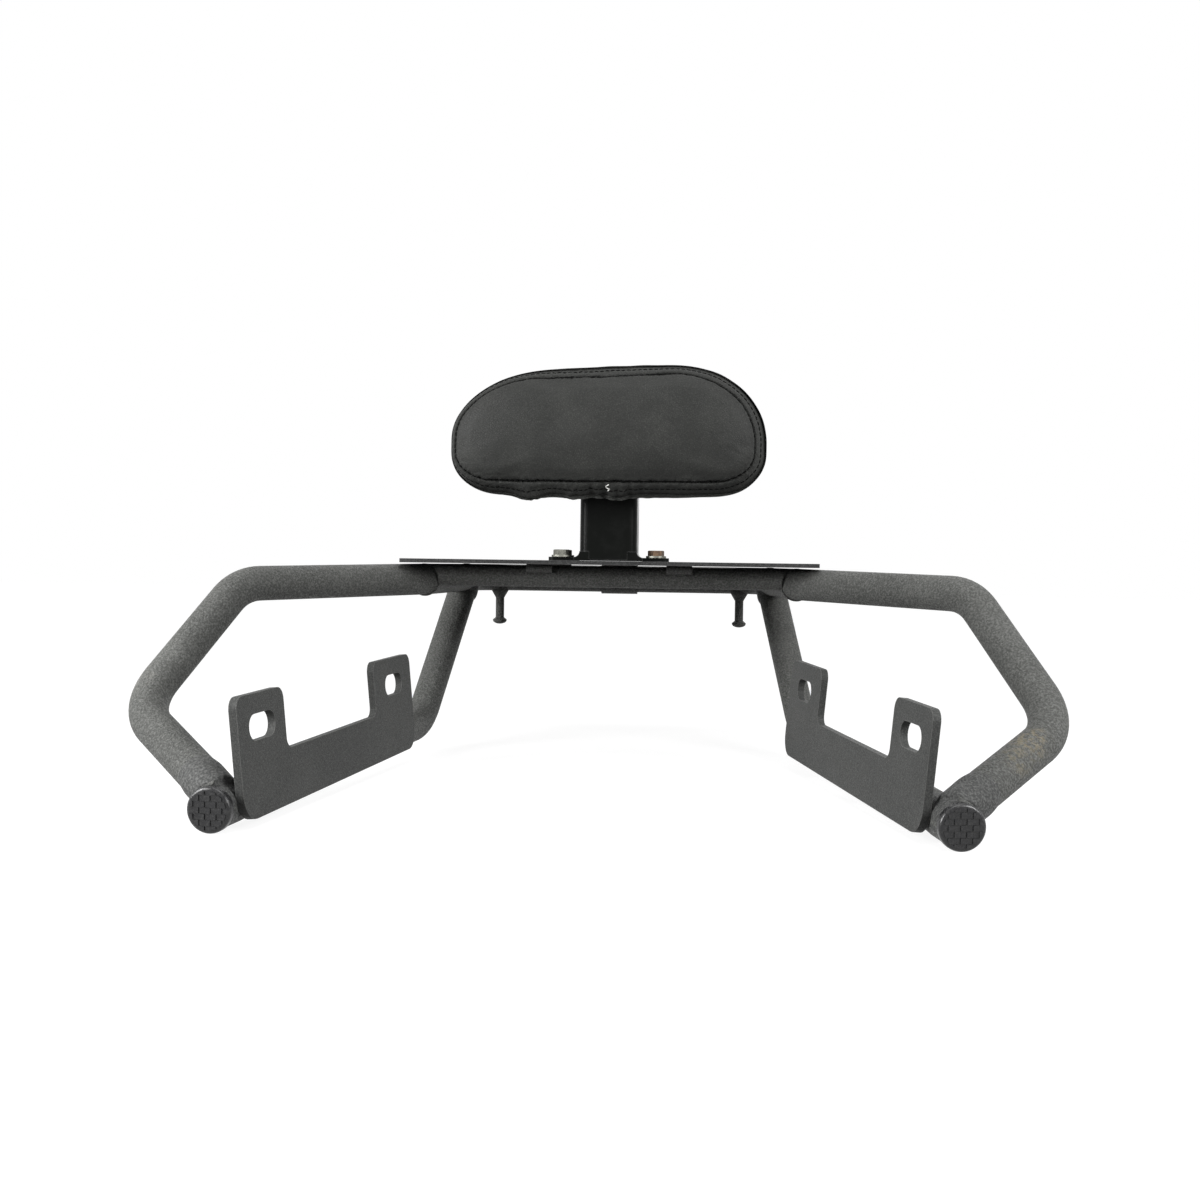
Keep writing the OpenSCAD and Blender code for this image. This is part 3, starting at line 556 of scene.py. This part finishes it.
# the outline, clockwise from the upper left: across the top, down, back along the foot, and up
def padOutline():
    right = cornerCurve(pad["topCorner"], 1) + cornerCurve(pad["lowCorner"], -1)[::-1]
    whole = np.array([(0, halfHigh)] + right + [(0, -halfHigh)])
    length = np.r_[0, np.cumsum(np.linalg.norm(np.diff(whole, axis=0), axis=1))]
    share = pad["share"]

    def cut(a, b, count):
        at = np.linspace(a, b, count) * length[-1]
        return np.stack([np.interp(at, length, whole[:, k]) for k in (0, 1)], 1)

    halfCount = pad["across"] // 2 + 1
    top = cut(0, share, halfCount)
    side = cut(share, 1 - share, pad["side"] + 2)[1:-1]
    foot = cut(1 - share, 1, halfCount)
    flip = np.array([-1, 1])
    topAll = np.r_[(top * flip)[::-1][:-1], top]
    footAll = np.r_[foot, (foot * flip)[::-1][1:]]
    return np.r_[topAll, side, footAll, (side * flip)[::-1]]


def outwardOf(line):
    way = np.roll(line, -1, 0) - np.roll(line, 1, 0)
    out = np.stack([-way[:, 1], way[:, 0]], 1)
    out /= np.linalg.norm(out, axis=1)[:, None]
    return out if (out * line).sum() > 0 else -out


# rings of points from the middle of the front, over the edge and down to the board
def padRings():
    outline = padOutline()
    out = outwardOf(outline)
    across, side = pad["across"], pad["side"]
    reach = halfWide * pad["ridge"]
    ridge = np.zeros_like(outline)
    ridge[:across, 0] = np.linspace(-reach, reach, across)
    ridge[across:across + side, 0] = reach
    ridge[across + side:2 * across + side, 0] = np.linspace(reach, -reach, across)
    ridge[2 * across + side:, 0] = -reach
    front, back = padLow.y + pad["drawnIn"], padHigh.y
    inner = padRing["panelIn"]
    rings = []
    sewnIn = 1 + pad["moreRight"] * np.clip(out[:, 0], 0, 1)
    sewnIn -= pad["lessLeft"] * np.clip(-out[:, 0], 0, 1)
    sewnIn += pad["moreLow"] * np.clip(-out[:, 1], 0, 1) ** 2
    further = (sewnIn[:, None] - 1) * pad["seamIn"]
    for share in padRing["panel"]:
        flat = outline - out * (inner + 0.5 * further)
        rings.append((flat * (1 - share) + ridge * share,
                      front + pad["crown"] * pad["panelCrown"] * (1 - share) ** 2,
                      inner + share * padRing["panelStep"]))
    for inset, depth in padRing["edge"]:
        moved = inset + further * min(1.0, (inner - inset) / 0.008) * min(1, inset / 0.004)
        rings.append((outline - out * moved, front + pad["crown"] * depth, inset))
    for inset, depth in padRing["wall"]:
        rings.append((outline - out * inset, front + (back - front) * depth, inset))
    for share in padRing["back"]:
        flat = outline - out * padRing["backIn"]
        rings.append((flat * (1 - share) + ridge * share, back, inner))
    return rings


def padMesh():
    rings = padRings()
    count = len(rings[0][0])
    shrink = np.array([1 - pad["drawnIn"] / halfWide, 1 - pad["drawnIn"] / halfHigh])
    points, faces = [], []
    for flat, depth, _ in rings:
        for x, z in flat * shrink:
            points.append((padMiddle.x + x, depth, padMiddle.z + z))
    for r in range(len(rings) - 1):
        for k in range(count):
            a, b = r * count + k, r * count + (k + 1) % count
            faces.append((a, a + count, b + count, b))
    mesh = bpy.data.meshes.new("padForm")
    mesh.from_pydata(points, [], faces)
    around = mesh.attributes.new("ringAt", "FLOAT", "POINT")
    around.data.foreach_set("value", np.repeat(np.arange(len(rings), dtype=np.float32), count))
    return mesh, rings


def weldedTogether(mesh, distance):
    work = bmesh.new()
    work.from_mesh(mesh)
    bmesh.ops.remove_doubles(work, verts=work.verts, dist=distance)
    bmesh.ops.dissolve_degenerate(work, edges=work.edges, dist=distance)
    bmesh.ops.recalc_face_normals(work, faces=work.faces)
    work.to_mesh(mesh)
    work.free()
    mesh.update()


def pointsOf(mesh):
    flat = np.zeros(len(mesh.vertices) * 3, np.float32)
    mesh.vertices.foreach_get("co", flat)
    return flat.reshape(-1, 3).astype(float)


# fills the cover from inside until it is tight, and holds it on its board
def fillPad(piece):
    start = pointsOf(piece.data)
    group = piece.vertex_groups.new(name="onBoard")
    held = [i for i, p in enumerate(start) if p[1] > padHigh.y - pad["heldAt"]]
    group.add(held, 1.0, "REPLACE")
    cloth = piece.modifiers.new("fill", "CLOTH")
    cloth.settings.use_pressure = True
    cloth.settings.uniform_pressure_force = pad["pressure"]
    cloth.settings.vertex_group_mass = "onBoard"
    cloth.settings.effector_weights.gravity = 0
    cloth.settings.quality = pad["quality"]
    cloth.point_cache.frame_start, cloth.point_cache.frame_end = 1, pad["steps"]
    for step in range(1, pad["steps"] + 1):
        scene.frame_set(step)
    applied(piece)
    scene.frame_set(1)
    moved = pointsOf(piece.data) - start
    far = np.linalg.norm(moved, axis=1)
    keep = np.minimum(1.0, pad["filledBy"] / np.maximum(far, 1e-9))
    piece.data.vertices.foreach_set("co", (start + moved * keep[:, None]).astype(np.float32).ravel())
    piece.data.update()
    print("pad filled, furthest point moved", round(float(far.max()) * 1000, 1), "mm")


# soft bell, 1 at its middle
def bell(gap, width):
    return np.exp(-(gap / width) ** 2)


# seams, puckers, the loose lower edge and the folds round the post, as small moves of the filled cover
def shapePad(piece, seamRing, bandRing):
    points = pointsOf(piece.data)
    # filling draws the sides in, so the cover is brought back to the pad's size, and a little proud
    for axis, under, over in ((0, pad["proudSide"], pad["proudSide"]), (2, 0.0, pad["proudTop"])):
        least, most = points[:, axis].min(), points[:, axis].max()
        wanted = (padLow[axis] - under, padHigh[axis] + over)
        points[:, axis] = np.interp(points[:, axis], (least, most), wanted)
    normals = np.zeros(len(points) * 3, np.float32)
    piece.data.vertex_normals.foreach_get("vector", normals)
    normals = normals.reshape(-1, 3).astype(float)
    ring = np.zeros(len(points), np.float32)
    piece.data.attributes["ringAt"].data.foreach_get("value", ring)
    x, z = points[:, 0] - padMiddle.x, points[:, 2] - padMiddle.z
    facing = np.clip(-normals[:, 1], 0, 1)
    soft = np.array([noise.noise(Vector(p) * 28) for p in points])
    small = np.array([noise.noise(Vector(p) * 75 + Vector((5, 0, 0))) for p in points])
    tiny = np.array([noise.noise(Vector((p[0] * 420, p[1] * 60, p[2] * 420))) for p in points])
    fromSeam = ring - seamRing
    push = padCrease["soft"] * soft * (ring < 12) + padCrease["small"] * small
    crown = np.clip(1 - (x / halfWide) ** 2, 0, 1) * np.clip(1 - (z / halfHigh) ** 2, 0, 1)
    push += pad["bulge"] * np.sqrt(crown) * facing * np.clip(-fromSeam / 5, 0, 1)
    push -= pad["seamDepth"] * bell(fromSeam, 0.6)
    push += (padCrease["ridge"] * bell(fromSeam - 1.8, 0.9)
             + padCrease["panelSide"] * bell(fromSeam + 2.0, 1.0))
    push -= pad["bandDepth"] * bell(ring - bandRing, 0.6)
    top, foot = np.clip(z / halfHigh, 0, 1) ** 2, np.clip(-z / halfHigh, 0, 1) ** 2
    puckers = tiny * (0.5 + 1.6 * top * bell(x + padCrease["topAt"], padCrease["topWide"]) + 1.2 * foot)
    push += padCrease["pucker"] * bell(fromSeam, 3.5) * puckers
    folds = np.sin(x * 2 * math.pi / padCrease["foldStep"] + soft * 3)
    folds *= bell(x - padCrease["foldAt"], padCrease["foldWide"]) * foot
    push += padCrease["fold"] * folds * bell(fromSeam - 3, 4)
    points += normals * push[:, None]
    hang = bell(fromSeam - 4.5, 2.8) * foot
    flap = sum(much * bell(x - at, wide) for at, wide, much in padCrease["flaps"])
    points[:, 2] -= padCrease["drop"] * flap * hang * (1 + 0.3 * tiny)
    points[:, 1] -= padCrease["forward"] * flap * hang
    points[:, 2] += pad["lean"] * x * np.clip(z / halfHigh, 0, 1)
    toFront = np.clip((padHigh.y - points[:, 1]) / (padHigh.y - padLow.y), 0, 1)
    points[:, 1] -= pad["wedge"] * x / halfWide * toFront
    points[:, 1] = np.minimum(points[:, 1], padHigh.y)
    points = np.clip(points, np.array(padLow) - pad["lowLimit"],
                     np.array(padHigh) + pad["highLimit"])
    piece.data.vertices.foreach_set("co", points.astype(np.float32).ravel())
    piece.data.update()


# the points of one ring, in order round the pad
def ringLine(piece, ringNumber):
    points = pointsOf(piece.data)
    ring = np.zeros(len(points), np.float32)
    piece.data.attributes["ringAt"].data.foreach_get("value", ring)
    picked = points[np.abs(ring - ringNumber) < pad["ringReach"]]
    angle = np.arctan2((picked[:, 2] - padMiddle.z) / halfHigh, (picked[:, 0] - padMiddle.x) / halfWide)
    return picked[np.argsort(angle)]


# single stitches along a line, lifted outward and forward off the cover
def sewRow(name, line, material, push, thick):
    step = np.linalg.norm(np.diff(np.r_[line, line[:1]], axis=0), axis=1)
    along = np.r_[0, np.cumsum(step)]
    whole = np.r_[line, line[:1]]
    count = int(along[-1] / pad["stitch"])
    parts = []
    for i in range(count):
        mid = (i + 0.5) * along[-1] / count
        ends = [Vector([np.interp(mid + s * pad["stitchLong"] / 2, along, whole[:, k])
                        for k in range(3)]) for s in (-1, -0.4, 0.4, 1)]
        out = Vector((ends[1].x - padMiddle.x, 0, ends[1].z - padMiddle.z)).normalized() * push[0]
        lift = out + Vector((0, -push[1], 0))
        ends = [p + lift * f for p, f in zip(ends, (0.1, 1.0, 1.0, 0.1))]
        parts.append(beadAlong(ends, [thick * 0.6, thick, thick, thick * 0.6], sides=6))
    points, faces = joined(parts)
    return newPiece(name, points, faces, material)


# one light thread end that lies on the lower edge of the cover
threadEnd = {"points": 9, "at": 0.0004, "sway": 0.0012, "turn": 0.9, "below": 0.0385, "climb": 0.0005,
             "lift": 0.0004, "wave": 0.0003, "thick": 0.0003, "away": 0.05}


def layThreadEnd(cushion):
    end = threadEnd
    tree = BVHTree.FromPolygons([v.co.copy() for v in cushion.data.vertices],
                                [tuple(f.vertices) for f in cushion.data.polygons])
    line = []
    for k in range(end["points"]):
        at = Vector((end["at"] + end["sway"] * math.sin(k * end["turn"]), padLow.y - end["away"],
                     padMiddle.z - end["below"] + end["climb"] * k))
        hit = tree.ray_cast(at, Vector((0, 1, 0)))[0]
        line.append((hit or at) + Vector((0, -end["lift"] - end["wave"] * math.sin(k), 0)))
    points, faces = beadAlong(line, [end["thick"]] * end["points"], sides=6)
    white = threadLook("whiteThread", (0.75, 0.74, 0.70), (0.9, 0.9, 0.88))
    newPiece("padThreadEnd", points, faces, white)


def makePad():
    mesh, rings = padMesh()
    cushion = bpy.data.objects.new("padCover", mesh)
    scene.collection.objects.link(cushion)
    weldedTogether(mesh, pad["merge"])
    bpy.context.view_layer.update()
    fillPad(cushion)
    smooth = cushion.modifiers.new("smooth", "SUBSURF")
    smooth.levels = smooth.render_levels = 2
    applied(cushion)
    cushion.data.materials.clear()
    cushion.data.materials.append(finishes["leatherette"])
    for face in cushion.data.polygons:
        face.use_smooth = True
    insets = [inset for _, _, inset in rings]
    depths = [depth for _, depth, _ in rings]
    seamRing = int(np.argmin([abs(inset - pad["seamIn"]) + (depth > padMiddle.y)
                              for inset, depth in zip(insets, depths)]))
    bandRing = int(np.argmin([abs(d - padLow.y - pad["bandAt"]) for d in depths]))
    shapePad(cushion, seamRing, bandRing)
    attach(cushion, "root")
    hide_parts("pad_cushion")
    # near-black stitches, darker than the leather: partly the thread's own black and partly painted shade in
    # the seam
    threadAndSeamShade = threadLook("padThreadAndSeamShade", (0.0010, 0.0010, 0.0010), (0.006, 0.006, 0.006))
    sewRow("padSeamStitches", ringLine(cushion, seamRing), threadAndSeamShade, pad["seamLift"],
           pad["seamThick"])
    sewRow("padBandStitches", ringLine(cushion, bandRing), threadAndSeamShade, pad["bandLift"],
           pad["bandThick"])
    layThreadEnd(cushion)
    wide, deep, high = np.ptp(pointsOf(cushion.data), axis=0) * 1000
    print("pad made:", len(cushion.data.polygons), "faces,", round(wide, 1), round(deep, 1),
          round(high, 1), "mm")


makePad()

# the photograph's own view: millimetres and degrees, then metres from the cross tube and the plate
view = {"lens": 42, "sensor": 36, "yaw": 2.98, "pitch": -1.514, "roll": -0.80, "right": 0.0449,
        "back": 0.9854, "up": 0.0014, "near": 0.01, "far": 50}


def placeCamera():
    data = bpy.data.cameras.new("camera")
    data.lens, data.sensor_width, data.sensor_height = view["lens"], view["sensor"], view["sensor"]
    data.sensor_fit = "AUTO"
    data.clip_start, data.clip_end = view["near"], view["far"]
    camera = bpy.data.objects.new("camera", data)
    scene.collection.objects.link(camera)
    yaw, pitch, roll = [Matrix.Rotation(math.radians(view[name]), 3, axis)
                        for name, axis in (("yaw", "Z"), ("pitch", "X"), ("roll", "Y"))]
    turn = yaw @ pitch @ roll
    right, ahead, up = turn.col[0], turn.col[1], turn.col[2]
    at = Vector((view["right"], crossY - view["back"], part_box("carrier_plate")[0].z + view["up"]))
    placed = Matrix((right, up, -ahead)).transposed().to_4x4()
    placed.translation = at
    camera.matrix_world = placed
    scene.camera = camera


placeCamera()

# each lamp's place, width and power
lamps = {"left": ((-0.78, -0.50, 0.40), 0.45, 13.5), "right": ((0.76, -0.56, 0.50), 0.45, 9.5),
         "top": ((0.12, -0.45, 1.6), 1.0, 13), "back": ((0.2, 1.9, 0.9), 1.4, 6)}
studio = {"aim": (0, 0, 0.12), "dim": 0.05, "white": 1.0, "floorHalf": 6.0,
          "floorTone": (0.22, 0.22, 0.22, 1), "glow": (0.5, 2.2, 0.88, 1.0)}


def lightScene():
    aim = Vector(studio["aim"])
    for name, (place, size, power) in lamps.items():
        lamp = bpy.data.lights.new(name, "AREA")
        lamp.size, lamp.energy, lamp.shape = size, power, "SQUARE"
        piece = bpy.data.objects.new(name, lamp)
        piece.location = place
        piece.rotation_euler = (aim - Vector(place)).to_track_quat("-Z", "Y").to_euler()
        piece.visible_camera = False
        scene.collection.objects.link(piece)
    world = bpy.data.worlds.new("studio")
    scene.world = world
    world.use_nodes = True
    tree = world.node_tree
    tree.nodes.clear()
    path = addNode(tree, "ShaderNodeLightPath").outputs
    shiny = calc(tree, "MAXIMUM", path["Is Glossy Ray"], path["Is Transmission Ray"])
    seen = calc(tree, "MAXIMUM", path["Is Camera Ray"], shiny)
    dim = addNode(tree, "ShaderNodeBackground", {"Color": (1, 1, 1, 1), "Strength": studio["dim"]})
    white = addNode(tree, "ShaderNodeBackground", {"Color": (1, 1, 1, 1), "Strength": studio["white"]})
    both = addNode(tree, "ShaderNodeMixShader", {0: seen, 1: dim.outputs[0], 2: white.outputs[0]}).outputs[0]
    addNode(tree, "ShaderNodeOutputWorld", {"Surface": both})


def layFloor():
    mesh = bpy.data.meshes.new("floor")
    half = studio["floorHalf"]
    corners = [(-half, -half, 0), (half, -half, 0), (half, half, 0), (-half, half, 0)]
    mesh.from_pydata(corners, [], [(0, 1, 2, 3)])
    floor = bpy.data.objects.new("floor", mesh)
    scene.collection.objects.link(floor)
    material, tree, shader = startMaterial("paleFloor", Roughness=1.0, Specular_IOR_Level=0.0,
                                           Base_Color=studio["floorTone"], Emission_Color=(1, 1, 1, 1))
    path = addNode(tree, "ShaderNodeLightPath").outputs
    seen = calc(tree, "MAXIMUM", path["Is Camera Ray"], path["Is Glossy Ray"])
    away = vectorMath(tree, "LENGTH", {0: objectPlace(tree)})
    glow = spread(tree, away, *studio["glow"])
    tree.links.new(calc(tree, "MULTIPLY", seen, glow), shader.inputs["Emission Strength"])
    floor.data.materials.append(material)


lightScene()
layFloor()
scene.view_settings.view_transform = "Standard"
print("camera, lights and floor placed")
